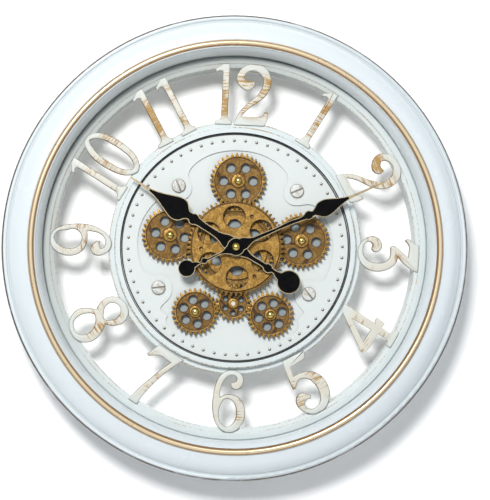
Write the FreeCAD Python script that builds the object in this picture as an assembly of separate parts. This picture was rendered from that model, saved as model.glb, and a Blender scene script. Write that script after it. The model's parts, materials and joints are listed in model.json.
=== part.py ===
import FreeCAD, Part
import math
import os

os.makedirs("parts", exist_ok=True)

Vector = FreeCAD.Vector

# Frame: origin on the hand arbor's axis in the wall plane, +Z up, the dial faces -Y.
# A height is a distance from the wall, so a point's y is minus its height.

# overall sizes, millimetres
clock_radius = 265.0
clock_depth = 66.0

# clearances
running_fit = 0.05
slip_gap = 0.3
seat_gap = 0.2

# gears
gear_module = 1.8
drive_teeth = 50
front_teeth = 60
satellite_teeth = 34
lower_teeth = 21
bottom_teeth = 28
side_angle = 8.15
bottom_drop = 11.0
gearbox_module = 0.8
output_teeth = 36
idler_pinion_teeth = 18
idler_wheel_teeth = 30
motor_teeth = 15
motion_module = 0.5
minute_teeth = 12
motion_teeth = 36
motion_pinion_teeth = 10
hour_teeth = 40
pressure_angle = math.radians(20.0)
tooth_slack = 0.08

# arbors and bearings, radii
minute_arbor = 1.5
hour_pipe = 2.6
movement_bush = 4.0
wheel_bush = 6.0
post_radius = 2.4
pin_radius = 1.5

# hands
hour_reach = 143.2
minute_reach = 185.2
hand_thickness = 1.4
hour_angle = 301.1
minute_angle = 64.0

# dial and case
screw_shank = 1.5
opening_radius = 205.6
numeral_radius = 175.0
hub_ring_outer = 144.0
hub_ring_inner = 130.5
dial_radius = 129.5
base_radius = 143.0
drum_outer = 141.5
drum_wall = 3.0
post_boss = 5.4
back_plate = 4.0
plate_edge = 256.0
hanger_height = 232.0
dome_count = 60
dome_circle = 122.0
dome_radius = 1.9
upper_screw_radius = 95.4
lower_screw_radius = 98.7

# heights from the wall, the visible stack is measured down from the front
unit = clock_radius / 265.0
screw_circle = drum_outer * unit - drum_wall - post_boss + 0.1
front = clock_depth
seat = front - 33.0
dial_floor = front - 27.0
dial_top = front - 25.4
hub_top = front - 22.0
band_top = front - 28.0
band_step = front - 28.8
numeral_back = front - 32.5
numeral_top = front - 26.0
gear_low = front - 25.0
gear_high = front - 21.0
crown_low = front - 19.0
crown_high = front - 16.0
hour_level = front - 13.4
minute_level = front - 10.0


# ---- solids about an axis along Y ----

def rod(radius, low, high, x=0.0, z=0.0):
    return Part.makeCylinder(radius, high - low, Vector(x, -low, z), Vector(0, -1, 0))


def tube(outer, inner, low, high, x=0.0, z=0.0):
    return rod(outer, low, high, x, z).cut(rod(inner, low - 1.0, high + 1.0, x, z))


def block(x0, x1, z0, z1, low, high):
    return Part.makeBox(x1 - x0, high - low, z1 - z0, Vector(x0, -high, z0))


def prism(wires, low, high):
    face = Part.makeFace(wires, "Part::FaceMakerBullseye")
    face.translate(Vector(0, -low, 0))
    return face.extrude(Vector(0, low - high, 0))


def circle(radius, x=0.0, z=0.0):
    return Part.Wire([Part.Circle(Vector(x, 0, z), Vector(0, 1, 0), radius).toShape()])


def polar(radius, degrees):
    turn = math.radians(degrees)
    return radius * math.cos(turn), radius * math.sin(turn)


# Each step is (r, height) for a straight side or (r, height, r, height) for an arc through and to.
def turned(steps):
    edges = []
    here = steps[0][-2:]
    for step in steps[1:] + [steps[0][-2:]]:
        start = Vector(here[0], -here[1], 0)
        end = Vector(step[-2], -step[-1], 0)
        if len(step) == 4:
            edges.append(Part.Arc(start, Vector(step[0], -step[1], 0), end).toShape())
        else:
            edges.append(Part.makeLine(start, end))
        here = step[-2:]
    face = Part.Face(Part.Wire(edges))
    return face.revolve(Vector(0, 0, 0), Vector(0, 1, 0), 360.0)


# Runs of (x, z) points meet at corners. Two points make a line, more make a smooth curve.
def outline(runs, put):
    edges = []
    last = runs[0][0]
    for run in runs:
        points = [put(p) for p in run]
        if run[0] != last:
            points = [put(last)] + points
        last = run[-1]
        if len(points) == 2:
            edges.append(Part.makeLine(points[0], points[1]))
        else:
            curve = Part.BSplineCurve()
            curve.interpolate(points)
            edges.append(curve.toShape())
    if last != runs[0][0]:
        edges.append(Part.makeLine(put(last), put(runs[0][0])))
    return Part.Wire(edges)


def loop(points, put):
    curve = Part.BSplineCurve()
    curve.interpolate([put(p) for p in points], PeriodicFlag=True)
    return Part.Wire([curve.toShape()])


def fused(shapes):
    return shapes[0].multiFuse(shapes[1:]).removeSplitter()


def save(name, shape):
    shape.exportStep("parts/%s.step" % name)


# ---- gears ----

def involute(angle):
    return math.tan(angle) - angle


# Half the angle that a tooth fills at a radius.
def half_tooth(teeth, base, radius):
    at_pitch = (math.pi / 2.0 - tooth_slack) / teeth
    at_radius = involute(math.acos(min(1.0, base / max(radius, base))))
    return at_pitch + involute(pressure_angle) - at_radius


def gear_wire(teeth, module, phase, x=0.0, z=0.0, addendum=1.0):
    pitch = module * teeth / 2.0
    base = pitch * math.cos(pressure_angle)
    root = pitch - 1.25 * module
    tip = pitch + addendum * module
    radii = [root, (root + pitch) / 2.0, pitch, tip]
    points = []
    for tooth in range(teeth):
        centre = phase + tooth * 2.0 * math.pi / teeth
        rising = [(r, centre - half_tooth(teeth, base, r)) for r in radii]
        falling = [(r, centre + half_tooth(teeth, base, r)) for r in reversed(radii)]
        for r, turn in rising + falling:
            points.append(Vector(x + r * math.cos(turn), 0, z + r * math.sin(turn)))
    return Part.makePolygon(points + points[:1])


# Phase of a gear that meshes with another one lying in the given direction from it.
def meshed_phase(teeth, phase, toward, other_teeth):
    pitch_angle = 2.0 * math.pi / teeth
    other_pitch = 2.0 * math.pi / other_teeth
    along = (toward - phase) / pitch_angle
    return toward + math.pi - other_pitch * (0.5 - along)


def ring_of_holes(count, radius, hole, x, z, first):
    wires = []
    for index in range(count):
        dx, dz = polar(radius, first + index * 360.0 / count)
        wires.append(circle(hole, x + dx, z + dz))
    return wires


# Ornamental gear: raised rim, sunk web with round holes, hub that stands proud.
def ornament_gear(teeth, phase, x, z, hole_share, first, bore, hub):
    pitch = gear_module * teeth / 2.0
    rim = pitch - 1.9 * gear_module
    holes = ring_of_holes(6, 0.55 * pitch, hole_share * pitch, x, z, first)
    wires = [gear_wire(teeth, gear_module, phase, x, z), circle(bore, x, z)] + holes
    body = prism(wires, gear_low, gear_high)
    body = body.cut(tube(rim, hub, gear_high - 1.0, gear_high + 1.0, x, z))
    boss = tube(hub, bore, gear_high, gear_high + 1.0, x, z)
    return body.fuse(boss).removeSplitter()


centre_distance = gear_module * (drive_teeth + satellite_teeth) / 2.0
lower_distance = gear_module * (drive_teeth + lower_teeth) / 2.0
bottom_distance = gear_module * (lower_teeth + bottom_teeth) / 2.0
bottom_reach = math.sqrt(bottom_distance ** 2 - bottom_drop ** 2)
drive_phase = math.radians(90.0)
lower_spot = (0.0, -lower_distance)
satellites = {"gear_top": 90.0, "gear_left": 180.0 - side_angle, "gear_right": side_angle}
bottoms = {"gear_bottom_left": -bottom_reach, "gear_bottom_right": bottom_reach}
lower_phase = meshed_phase(drive_teeth, drive_phase, math.radians(-90.0), lower_teeth)
stud_spots = [polar(centre_distance, turn) for turn in satellites.values()]
stud_spots = stud_spots + [(reach, -lower_distance - bottom_drop) for reach in bottoms.values()]


# Angle of one hole of each ornamental gear.
satellite_holes = {"gear_top": 2.0, "gear_left": -7.0, "gear_right": -3.0,
                   "gear_bottom_left": 43.0, "gear_bottom_right": 17.0}


def build_gears():
    for name, turn in satellites.items():
        x, z = polar(centre_distance, turn)
        phase = meshed_phase(drive_teeth, drive_phase, math.radians(turn), satellite_teeth)
        first = satellite_holes[name]
        shape = ornament_gear(satellite_teeth, phase, x, z, 0.165, first, post_radius + running_fit, 7.5)
        save(name, shape)
    lower = ornament_gear(lower_teeth, lower_phase, 0.0, -lower_distance, 0.15, 90.0, post_radius, 5.6)
    save("gear_lower", lower)
    for name, reach in bottoms.items():
        z = -lower_distance - bottom_drop
        toward = math.atan2(-bottom_drop, reach)
        phase = meshed_phase(lower_teeth, lower_phase, toward, bottom_teeth)
        first = satellite_holes[name]
        shape = ornament_gear(bottom_teeth, phase, reach, z, 0.19, first, post_radius + running_fit, 6.4)
        save(name, shape)


def build_centre_gears():
    bore = wheel_bush + running_fit
    sleeve = wheel_bush + 2.5
    pitch = gear_module * drive_teeth / 2.0
    holes = ring_of_holes(6, 0.55 * pitch, 0.16 * pitch, 0.0, 0.0, 95.0)
    wires = [gear_wire(drive_teeth, gear_module, drive_phase), circle(bore)] + holes
    drive = prism(wires, gear_low, gear_high)
    drive = drive.cut(tube(0.92 * pitch, 0.82 * pitch, gear_high - 1.5, gear_high + 1.0))
    drive = drive.fuse(tube(sleeve, bore, gear_high, crown_high)).removeSplitter()
    save("center_drive_gear", drive)
    pitch = gear_module * front_teeth / 2.0
    holes = ring_of_holes(6, 0.635 * pitch, 0.23 * pitch, 0.0, 0.0, 95.0)
    wires = [gear_wire(front_teeth, gear_module, math.radians(3.0)), circle(sleeve)] + holes
    crown = prism(wires, crown_low, crown_high)
    crown = crown.cut(tube(pitch + 5.0, pitch - 2.0 * gear_module, crown_high - 0.8, crown_high + 1.0))
    crown = crown.cut(tube(pitch - 1.6 * gear_module, pitch - 2.1 * gear_module, crown_high - 1.6, crown_high))
    for index in range(3):
        dx, dz = polar(0.726 * pitch, 65.0 + index * 120.0)
        crown = crown.cut(rod(1.7, crown_high - 1.8, crown_high + 1.0, dx, dz))
    save("center_front_gear", crown)


# ---- case ----

def build_bezel():
    outer = [
        (219.0 * unit, back_plate),
        (219.0 * unit, front - 25.0),
        (220.4 * unit, front - 13.0, 226.0 * unit, front - 4.0),
        (226.3 * unit, front - 2.6, 227.0 * unit, front - 2.2),
        (228.0 * unit, front - 3.25),
        (231.25 * unit, front - 6.5, 234.5 * unit, front - 3.25),
        (235.6 * unit, front - 4.4),
        (247.5 * unit, front - 7.2, 256.2 * unit, front - 15.0),
        (257.2 * unit, front - 17.0),
        (258.8 * unit, front - 17.0),
        (259.5 * unit, front - 15.8),
        (261.3 * unit, front - 15.2, 262.6 * unit, front - 16.8),
        (264.4 * unit, front - 18.5, 265.0 * unit, front - 21.0),
        (263.2 * unit, front * 0.36, plate_edge * unit, back_plate),
    ]
    hollow = [
        (222.0 * unit, back_plate - 1.0),
        (222.0 * unit, front - 24.0),
        (223.2 * unit, front - 15.0, 227.5 * unit, front - 9.5),
        (235.0 * unit, front - 9.5),
        (246.0 * unit, front - 11.0, 253.2 * unit, front - 18.0),
        (255.5 * unit, front - 20.5),
        (261.6 * unit, front - 20.5),
        (260.8 * unit, front * 0.4, 253.0 * unit, back_plate - 1.0),
    ]
    shell = turned(outer).cut(turned(hollow))
    bosses = []
    for index in range(6):
        x, z = polar(238.0 * unit, index * 60.0)
        bosses.append(rod(5.0, back_plate, front - 9.0, x, z))
    shell = shell.multiFuse(bosses)
    for index in range(6):
        x, z = polar(238.0 * unit, index * 60.0)
        shell = shell.cut(rod(screw_shank, back_plate - 1.0, back_plate + 16.0, x, z))
    save("bezel_shell", shell.removeSplitter())
    bead = Part.makeTorus(231.25 * unit, 3.15, Vector(0, 3.25 - front, 0), Vector(0, 1, 0))
    save("trim_bead", bead)


def build_back_ring():
    ring = tube(plate_edge * unit, opening_radius * unit, 0.0, back_plate)
    z = hanger_height * unit
    ring = ring.cut(block(-30.0 - seat_gap, 30.0 + seat_gap, z - 13.0, z + 13.0, -1.0, 2.0))
    ring = ring.cut(block(-19.0, 19.0, z - 9.0, z + 11.0, 1.0, back_plate + 1.0))
    for side in (-1, 1):
        ring = ring.cut(rod(1.1, 1.0, back_plate + 1.0, side * 25.0, z))
    for index in range(6):
        x, zz = polar(238.0 * unit, index * 60.0)
        ring = ring.cut(rod(screw_shank + seat_gap, -1.0, back_plate + 1.0, x, zz))
        ring = ring.cut(rod(3.6, -1.0, 2.2, x, zz))
    save("back_ring", ring)


# Round head on a plain shank, with a straight slot cut into the head.
def screw(x, z, shank, low, high, head, head_low, head_high, slot_low, slot_high):
    body = rod(shank, low, high, x, z).fuse(rod(head, head_low, head_high, x, z))
    slot = block(x - head - 1.0, x + head + 1.0, z - 0.13 * head, z + 0.13 * head, slot_low, slot_high)
    return body.cut(slot)


def build_ring_screws():
    screws = []
    for index in range(6):
        x, z = polar(238.0 * unit, index * 60.0)
        screws.append(screw(x, z, screw_shank, 0.6, 16.0, 3.3, 0.6, 2.2, 0.0, 1.3))
    save("ring_screws", Part.makeCompound(screws))


def build_hanger():
    z = hanger_height * unit
    plate = block(-30.0, 30.0, z - 13.0 + seat_gap, z + 13.0 - seat_gap, 0.0, 2.0)
    slot = rod(2.5, -1.0, 3.0, 0.0, z + 7.5)
    slot = slot.fuse(block(-2.5, 2.5, z, z + 7.5, -1.0, 3.0))
    plate = plate.cut(rod(5.0, -1.0, 3.0, 0.0, z - 2.0)).cut(slot)
    screws = []
    for side in (-1, 1):
        plate = plate.cut(rod(1.1, -1.0, 3.0, side * 25.0, z))
        plate = plate.cut(rod(2.6, -1.0, 1.0, side * 25.0, z))
        screws.append(screw(side * 25.0, z, 1.1, 0.2, back_plate, 2.4, 0.2, 1.0, 0.0, 0.6))
    save("hanger", plate)
    save("hanger_screws", Part.makeCompound(screws))


def build_chapter_band():
    band = turned([
        (opening_radius * unit, back_plate),
        (opening_radius * unit, band_step),
        (210.4 * unit, band_step),
        (211.0 * unit, band_top),
        (217.4 * unit, band_top),
        (218.8 * unit, band_top - 1.4),
        (218.8 * unit, band_top - 3.0),
        ((opening_radius + 3.0) * unit, band_top - 3.8),
        ((opening_radius + 3.0) * unit, back_plate),
    ])
    save("chapter_band", band)


def build_hub_ring():
    ring = turned([
        (hub_ring_inner * unit, seat + 3.0),
        (hub_ring_inner * unit, hub_top - 0.6),
        (131.2 * unit, hub_top),
        (135.8 * unit, hub_top),
        (136.9 * unit, hub_top - 0.3, 137.4 * unit, hub_top - 1.4),
        (137.8 * unit, band_top),
        (hub_ring_outer * unit - 1.0, band_top),
        (hub_ring_outer * unit, band_top - 1.0),
        (hub_ring_outer * unit, seat + 1.0),
        (base_radius * unit + seat_gap, seat + 1.0),
        (base_radius * unit + seat_gap, seat + 3.0),
    ])
    for index in range(6):
        x, z = polar(screw_circle, index * 60.0)
        ring = ring.cut(rod(screw_shank, seat, hub_top - 3.0, x, z))
    save("hub_ring", ring)


# ---- numerals, drawn about their own centres with +z towards their tops ----

digit_one = [
    [(-3.8, -26), (-3.8, 25.5)],
    [(-6.5, 26.3), (-11, 23.8)],
    [(-12.3, 28.3)],
    [(-7, 31.5), (-3, 35.2)],
    [(3.8, 35.2)],
    [(3.8, -26)],
    [(5, -29), (8, -31)],
    [(8, -35.2)],
    [(-10.6, -35.2)],
    [(-10.6, -31.2)],
    [(-6, -29.5), (-3.8, -26)],
]
digit_two = [
    [(-20, -35.2), (-17.5, -26), (-11, -15.5), (-2, -7), (6, 1), (10.8, 10), (11, 19),
     (6.5, 25.5), (-1, 27.8), (-7.5, 25), (-10, 20), (-7.5, 16.3), (-3, 15.6)],
    [(0.5, 16.6)],
    [(1.8, 12), (-0.8, 7.3), (-6.5, 5.2), (-13, 8), (-18, 14), (-18.8, 21.5), (-14.5, 29),
     (-7, 34.3), (1, 35.6), (9.5, 34), (16.5, 28.5), (20.3, 20), (20, 10), (15.5, 0.5),
     (8, -7), (-1, -13.5), (-8, -20), (-11.5, -25)],
    [(8, -25)],
    [(12.3, -23), (14.5, -18.8)],
    [(18.3, -19.5)],
    [(17.5, -28), (14.5, -35.2)],
]
digit_three = [
    [(-15.8, 18.5), (-18.3, 21.8), (-16.5, 26), (-12.5, 31.5), (-11.5, 35.3)],
    [(20, 35.3)],
    [(17, 28), (2.5, 11.2)],
    [(9, 9.5), (15, 4), (19, -4), (20.3, -14), (17.5, -24), (10.5, -31.5), (1, -35.2),
     (-8.5, -33.8), (-16, -28), (-19.8, -20), (-18, -12.5), (-11.5, -8), (-5, -8.8),
     (-2, -13), (-3.5, -18.3)],
    [(-6.5, -19.3), (-10.5, -18.6), (-13.3, -21.5), (-11.8, -26.3), (-5.5, -29), (2, -28),
     (8, -22.5), (10.6, -13.5), (9.6, -5), (5, 1), (-1, 2.4), (-7.5, 2)],
    [(-9.8, 4.8), (-8.8, 8.2)],
    [(2.5, 23)],
    [(-8.5, 23.8)],
    [(-12.5, 22), (-15.8, 18.5)],
]
digit_four = [
    [(12.8, 35.6), (8, 34.6), (2.3, 30.5)],
    [(-22.4, -7.5)],
    [(-22.8, -10), (-18, -15.1)],
    [(4.5, -15.2)],
    [(4.5, -26)],
    [(3, -28.6), (-1.5, -30)],
    [(-1.5, -35.5)],
    [(19, -35.5)],
    [(18.5, -28.5)],
    [(14.5, -28), (12.5, -26)],
    [(12.5, -15.2)],
    [(18.5, -15.2)],
    [(19.5, -4.5)],
    [(15.8, -4.2), (12.8, -5.8)],
]
digit_five = [
    [(-16.5, 1.2), (-16, 13), (-13, 35.6)],
    [(15, 35.6)],
    [(14.8, 34), (10, 25.8)],
    [(-7.3, 25)],
    [(-9, 14.2)],
    [(-1, 14.3), (8, 12), (15.5, 6.5), (20, -2), (21, -12), (18.5, -22), (13, -29.5),
     (5, -34.7), (-4, -35.5), (-13, -31.5), (-19, -24), (-20.7, -15), (-17.5, -8.5),
     (-12.5, -6), (-8, -7)],
    [(-1.5, -13.5)],
    [(-3.5, -17)],
    [(-8, -16), (-11.8, -18.5), (-12.3, -23.5), (-8.5, -27.8), (-2, -28.2), (4, -25),
     (8, -17.5), (8.8, -8), (6.5, 0.5), (1.5, 6.3), (-4, 7.8), (-9, 6)],
    [(-13, 1.2)],
]
digit_six = [
    [(7.5, 13.2), (13.5, 17), (16, 24), (13.5, 31), (6, 35.2), (-3, 34.5), (-11, 29),
     (-15.5, 20), (-18, 8), (-18.6, -6), (-17, -18), (-12, -28.5), (-5, -34), (3, -35.3),
     (11, -31.5), (17, -23), (19, -12), (16.5, -2), (10.5, 5), (3, 8), (-4, 7.5), (-10, 4.3)],
    [(-9.8, 13), (-7, 22), (-2, 28.3), (3.5, 29.8), (7.8, 27), (7, 23), (3, 22)],
    [(1.2, 20.8)],
    [(2, 16.5), (7.5, 13.2)],
]
digit_seven = [
    [(-13.3, 35.6), (19.5, 35.6)],
    [(14.5, 25), (9, 11), (4.6, -5), (2, -20), (1, -35.5)],
    [(-11, -35.5)],
    [(-9.3, -28), (-5, -11), (-1.2, 0), (2, 10), (6.5, 21), (8.2, 25.3)],
    [(0, 25.6), (-6, 25.3), (-11.5, 22.5), (-17, 18.3)],
    [(-20, 19.5)],
]
digit_eight = [
    [(-10.5, 2.8), (-15, 9), (-17, 18), (-15, 26), (-10, 32), (-2, 35.4), (7, 34.5),
     (14, 29.5), (17.3, 21), (15.5, 12.5), (9.5, 4.2)],
    [(12.5, 0), (17, -7.5), (19.3, -16), (17.5, -25), (11.5, -32), (2, -35.6), (-8, -33.8),
     (-15.5, -28), (-20, -19), (-19, -10), (-15, -3), (-10.5, 2.8)],
]
digit_nine = [
    [(-17.3, 13), (-15.5, 24), (-9.5, 32), (-1, 35.6), (8, 33.5), (14.5, 26.5), (18.3, 15),
     (19.5, 3), (18.8, -8), (15, -20), (8.5, -29.5), (0, -34.3), (-8, -33), (-13.8, -27),
     (-16, -20), (-13.5, -13), (-8.5, -10.8), (-3.5, -12.8), (0.5, -19), (0, -21.3)],
    [(-4, -21), (-7.8, -22.8), (-5.5, -26.2), (0.5, -27.2), (7, -23.5), (10.8, -15), (11.3, -6.2)],
    [(4, -6.8), (-3, -6), (-10.5, -2), (-15.5, 4.5), (-17.3, 13)],
]
counter_four = [[(3.4, 19.8), (4.2, -5.8)], [(-12.8, -5.8)]]
counter_six = [(-1, 3), (5.5, -1), (9, -12), (6.5, -23), (-0.5, -28.8), (-7, -26), (-10.8, -15), (-9, -4)]
counter_eight_top = [(-9.8, 18), (-7.5, 24), (-2, 27.3), (4, 26), (8.3, 21), (8, 12), (3, 5.5), (-3, 8), (-8, 12.5)]
counter_eight_low = [(-13, -17), (-11.5, -9), (-6, -2.2), (0, -4), (6, -9.5), (9, -16), (8, -24),
                     (2, -29.5), (-5, -29), (-10.5, -25.5)]
counter_nine = [(12.5, 14), (11.8, 5), (7, 0.8), (0, 0), (-6.5, 4.5), (-9, 13), (-7.5, 21.5),
                (-3, 28), (3.5, 30.8), (9.5, 27)]
zero_outer = [(0, 35.4), (11.5, 27.5), (17, 9), (16.3, -12), (10, -29), (0, -35.2),
              (-10, -29), (-16.3, -12), (-17, 9), (-11.5, 27.5)]
zero_inner = [(0.6, 29.6), (6.5, 23), (9.5, 7), (9, -11), (5, -24), (-0.6, -28.6),
              (-6.2, -23), (-9.3, -8), (-8.8, 10), (-5, 24)]


def digit_wires(value, put):
    if value == 0:
        return [loop(zero_outer, put), loop(zero_inner, put)]
    plain = {1: digit_one, 2: digit_two, 3: digit_three, 4: digit_four, 5: digit_five,
             6: digit_six, 7: digit_seven, 8: digit_eight, 9: digit_nine}
    wires = [outline(plain[value], put)]
    if value == 4:
        wires.append(outline(counter_four, put))
    if value == 6:
        wires.append(loop(counter_six, put))
    if value == 8:
        wires.append(loop(counter_eight_top, put))
        wires.append(loop(counter_eight_low, put))
    if value == 9:
        wires.append(loop(counter_nine, put))
    return wires


numeral_layout = {
    1: [(1, 2.5)], 2: [(2, 0.0)], 3: [(3, 0.0)], 4: [(4, 0.0)], 5: [(5, 0.0)], 6: [(6, 0.0)],
    7: [(7, 0.0)], 8: [(8, 0.0)], 9: [(9, 0.0)],
    10: [(1, -15.6), (0, 14.5)], 11: [(1, -14.0), (1, 15.6)], 12: [(1, -18.6), (2, 12.6)],
}


# Tops point outwards from nine to three and inwards from four to eight.
def numeral_put(hour, shift):
    turn = math.radians(30.0 * hour)
    flip = -1.0 if 4 <= hour <= 8 else 1.0

    def put(point):
        along = flip * (point[0] + shift) * unit
        out = (numeral_radius + flip * point[1]) * unit
        return Vector(out * math.sin(turn) + along * math.cos(turn), 0,
                      out * math.cos(turn) - along * math.sin(turn))
    return put


def build_numerals():
    band = tube(230.0 * unit, opening_radius * unit - 0.1, numeral_back - 1.0, band_step)
    hub = rod(hub_ring_outer * unit + 0.1, numeral_back - 1.0, band_top)
    rim = tube(240.0 * unit, 210.2 * unit, numeral_back - 1.0, numeral_top + 1.0)
    for hour, digits in numeral_layout.items():
        shapes = []
        for value, shift in digits:
            wires = digit_wires(value, numeral_put(hour, shift))
            shapes.append(prism(wires, numeral_back, numeral_top).cut(band).cut(hub).cut(rim))
        shape = shapes[0] if len(shapes) == 1 else Part.makeCompound(shapes)
        save("numeral_%02d" % hour, shape)


# ---- dial ----

screw_spots = [polar(upper_screw_radius * unit, 45.0), polar(upper_screw_radius * unit, 135.0),
               polar(lower_screw_radius * unit, -30.0), polar(lower_screw_radius * unit, 210.0)]


# Right half of the dial plate's opening, from its top round to its bottom.
opening_half = [
    [(0, 110.6), (24, 107.6), (42, 99.4), (53.5, 89)],
    [(56.6, 83), (56, 76), (53.2, 69), (53, 61), (57.5, 54), (65, 51)],
    [(74, 51.8), (84, 52.6), (91.5, 49), (99.5, 40), (106.3, 28), (110.8, 12), (110.8, -8),
     (106.3, -26), (103, -32), (99, -34.4)],
    [(81, -34.4)],
    [(74, -39.5), (69.9, -49), (71.6, -58.5), (77.3, -66), (81.5, -70.8)],
    [(73.4, -80.5)],
    [(75.6, -84.6), (74.4, -90.6)],
    [(60, -104.2), (32, -116.4), (0, -120)],
]


def build_dial_plate():
    low = dial_floor - 1.0
    high = dial_top + 1.0

    def put(point):
        return Vector(point[0] * unit, 0, point[1] * unit)
    mirrored = [[(-x, z) for x, z in reversed(run)] for run in reversed(opening_half)]
    cutout = prism([outline(opening_half + mirrored, put)], low, high)
    plate = rod(dial_radius * unit, dial_floor, dial_top).cut(cutout)
    domes = []
    for index in range(dome_count):
        x, z = polar(dome_circle * unit, (index + 0.5) * 360.0 / dome_count)
        base = Vector(x, 0.3 - dial_top, z)
        domes.append(Part.makeSphere(dome_radius, base, Vector(0, -1, 0), 0, 90, 360))
    plate = plate.multiFuse(domes)
    for x, z in screw_spots:
        plate = plate.cut(rod(2.0, low, high, x, z))
    save("dial_plate", plate)
    screws = []
    for x, z in screw_spots:
        turn = math.degrees(math.atan2(z, x))
        head = rod(8.0, dial_top, dial_top + 2.0)
        head = head.fuse(rod(7.2, dial_top + 1.0, dial_top + 2.6))
        head = head.fuse(rod(2.0, seat + 1.0, dial_top + 1.0))
        head = head.cut(block(-9.0, 9.0, -0.9, 0.9, dial_top + 1.4, dial_top + 4.0))
        head.rotate(Vector(0, 0, 0), Vector(0, 1, 0), 20.0 - turn)
        head.translate(Vector(x, 0, z))
        screws.append(head)
    save("dial_screws", Part.makeCompound(screws))


def build_base_plate():
    plate = rod(base_radius * unit, seat, seat + 3.0)
    plate = plate.fuse(rod(hub_ring_inner * unit - seat_gap, seat + 3.0, dial_floor))
    plate = plate.fuse(rod(10.0, dial_floor, gear_low - slip_gap))
    plate = plate.fuse(rod(5.0, dial_floor, gear_low - slip_gap, lower_spot[0], lower_spot[1]))
    holes = [rod(movement_bush + 0.1, seat - 1.0, gear_low, 0.0, 0.0)]
    holes.append(rod(post_radius + running_fit, seat - 1.0, gear_low, lower_spot[0], lower_spot[1]))
    for x, z in stud_spots:
        holes.append(rod(post_radius, seat + 1.0, dial_floor + 1.0, x, z))
    for x, z in screw_spots:
        holes.append(rod(2.0, seat + 1.0, dial_floor + 1.0, x, z))
    # The cover screws pass the flange just outside the raised floor.
    for index in range(6):
        x, z = polar(screw_circle, index * 60.0)
        holes.append(rod(screw_shank, seat - 1.0, seat + 3.0, x, z))
    plate = plate.removeSplitter()
    for hole in holes:
        plate = plate.cut(hole)
    save("base_plate", plate)


# Dome with a straight skirt and a blind hole from below.
def dome_cap(radius, low, skirt, high, bore, bore_high):
    rise = high - skirt
    ball_radius = (radius ** 2 + rise ** 2) / (2.0 * rise)
    ball = Part.makeSphere(ball_radius, Vector(0, ball_radius - high, 0), Vector(0, -1, 0))
    cap = ball.common(rod(2.0 * radius, skirt, high + 1.0))
    return cap.fuse(rod(radius, low, skirt)).cut(rod(bore, low - 1.0, bore_high))


def build_posts():
    posts = []
    caps = []
    tip = gear_high + 2.4
    for x, z in stud_spots:
        post = rod(post_radius, seat + 1.0, tip, x, z)
        post = post.fuse(rod(post_radius + 1.9, dial_floor, gear_low - slip_gap, x, z))
        posts.append(post)
        low = gear_high + 1.0 + slip_gap
        cap = dome_cap(4.4, low, low + 1.0, low + 4.2, post_radius, tip)
        cap.translate(Vector(x, 0, z))
        caps.append(cap)
    save("gear_posts", Part.makeCompound(posts))
    save("post_caps", Part.makeCompound(caps))


# ---- hour and minute works ----

motion_distance = motion_module * (minute_teeth + motion_teeth) / 2.0
hour_module = 2.0 * motion_distance / (motion_pinion_teeth + hour_teeth)
motion_spot = (0.0, motion_distance)
knob_spot = polar(motion_distance, 150.0)
knob_spot = (knob_spot[0], knob_spot[1] + motion_distance)
case_half = 28.0
case_wall = 1.5
lid_low = seat - 16.0
lid_high = seat - 14.0
wheel_low = seat - 12.6
wheel_high = seat - 10.6
hour_low = seat - 9.0
hour_high = seat - 7.0
battery_radius = 7.1
battery_length = 50.0
movement_battery_z = -19.2
short_addendum = 0.8


def battery(x, z, height):
    cell = Part.makeCylinder(battery_radius, battery_length - 1.2, Vector(x - battery_length / 2.0, -height, z),
                             Vector(1, 0, 0))
    tip = Part.makeCylinder(2.6, 1.2, Vector(x + battery_length / 2.0 - 1.2, -height, z), Vector(1, 0, 0))
    return cell.fuse(tip)


def build_movement():
    inner = case_half - case_wall
    case = block(-case_half, case_half, -case_half, case_half, lid_high, seat)
    case = case.cut(block(-inner, inner, -inner, inner, lid_high - 1.0, seat - case_wall))
    case = case.fuse(block(-inner, inner, -12.0, -10.8, lid_high, seat - case_wall))
    case = case.fuse(rod(0.9, wheel_low - 0.8, seat - case_wall, motion_spot[0], motion_spot[1]))
    case = case.cut(rod(movement_bush - 0.6, seat - 3.0, seat + 1.0))
    save("movement_case", case)
    lid = block(-case_half, case_half, -case_half, case_half, lid_low, lid_high)
    lid = lid.cut(block(-inner, inner, -27.0, -12.0, lid_low - 1.0, lid_high + 1.0))
    lid = lid.cut(rod(pin_radius + running_fit, lid_low - 1.0, lid_high + 1.0, knob_spot[0], knob_spot[1]))
    save("movement_lid", lid)
    bush = tube(movement_bush, hour_pipe + running_fit, seat, crown_high - 0.6)
    bush = bush.fuse(tube(movement_bush - 0.6, hour_pipe + running_fit, seat - case_wall, seat))
    save("movement_bushing", bush.removeSplitter())
    board = block(11.6, inner, -10.0, inner, seat - 5.0, seat - 3.6)
    coil = Part.makeCylinder(3.0, 18.0, Vector(20.0, 7.9 - seat, -4.0), Vector(0, 0, 1))
    save("movement_circuit", board.fuse(coil).removeSplitter())
    save("movement_battery", battery(0.0, movement_battery_z, seat - 8.6))


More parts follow.
